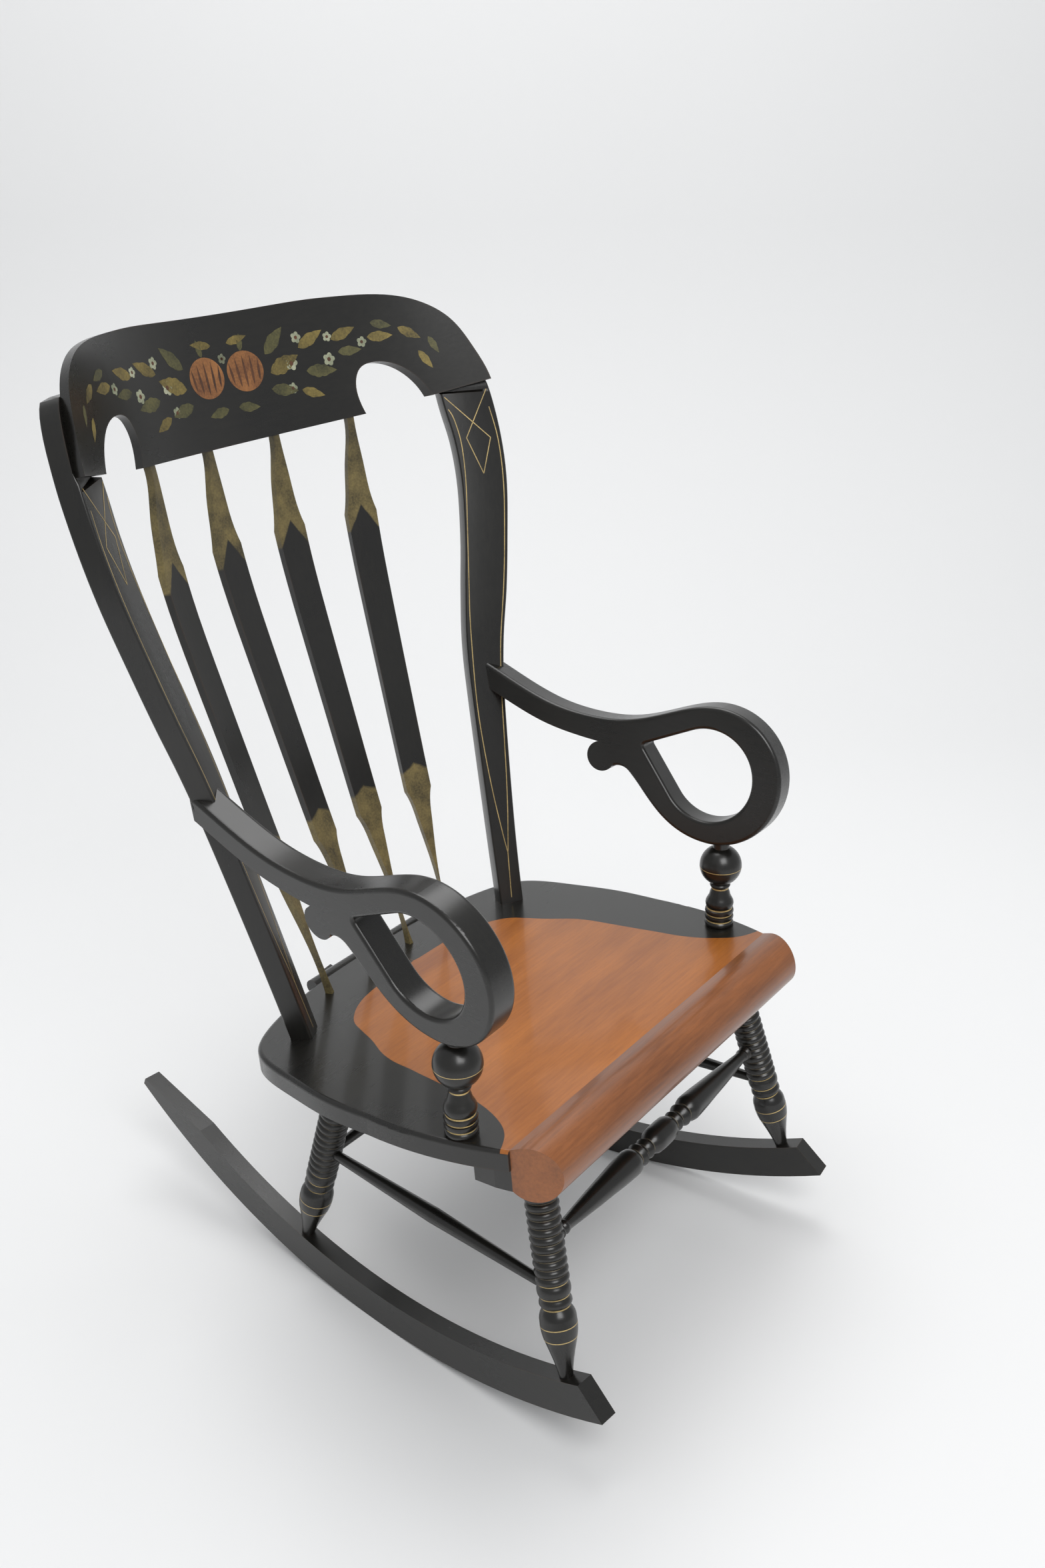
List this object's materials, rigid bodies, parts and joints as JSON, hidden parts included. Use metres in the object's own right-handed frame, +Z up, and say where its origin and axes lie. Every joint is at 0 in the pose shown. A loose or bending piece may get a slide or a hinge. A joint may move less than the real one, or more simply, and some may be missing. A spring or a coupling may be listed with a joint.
{
  "type": "boston rocking chair",
  "caption": "Boston rocking chair: plank seat with a rolled front, bent stencilled crest, arrow slats, looped scroll arms, ring-turned legs on curved rockers.",
  "frame": {"origin": "on the floor, in the chair's centre plane, on the line where the rockers touch the floor when the chair is at rest", "axes": "+Z up, -Y the way the sitter faces, +X towards the sitter's left hand; nodes named left_ are at +X and nodes named right_ at -X"},
  "size_m": [0.681, 0.7831, 1.1028],
  "materials": {
    "black_lacquer": "black painted wood with satin-gloss lacquer, gold and bronze line ornament, rubbed edges",
    "seat_wood": "clear-finished amber wood field with a black painted border, satin gloss",
    "bare_wood": "bare hardwood dowel, hidden in its hole",
    "roll_wood": "dark red-brown stained wood, satin gloss"
  },
  "bodies": {
    "root": {"crest_rail": "black_lacquer", "seat_plank": "seat_wood", "seat_front_roll": "roll_wood", "seat_rear_roll": "black_lacquer", "front_stretcher": "black_lacquer", "rear_stretcher": "black_lacquer", "left_crest_dowel_1": "bare_wood", "right_crest_dowel_1": "bare_wood", "left_crest_dowel_2": "bare_wood", "right_crest_dowel_2": "bare_wood", "left_arm_dowel": "bare_wood", "right_arm_dowel": "bare_wood", "left_back_post": "black_lacquer", "right_back_post": "black_lacquer", "left_outer_slat": "black_lacquer", "right_outer_slat": "black_lacquer", "left_inner_slat": "black_lacquer", "right_inner_slat": "black_lacquer", "left_arm": "black_lacquer", "right_arm": "black_lacquer", "left_arm_post": "black_lacquer", "right_arm_post": "black_lacquer", "left_front_leg": "black_lacquer", "right_front_leg": "black_lacquer", "left_rear_leg": "black_lacquer", "right_rear_leg": "black_lacquer", "left_side_stretcher": "black_lacquer", "right_side_stretcher": "black_lacquer", "left_rocker": "black_lacquer", "right_rocker": "black_lacquer"}
  },
  "joints": []
}
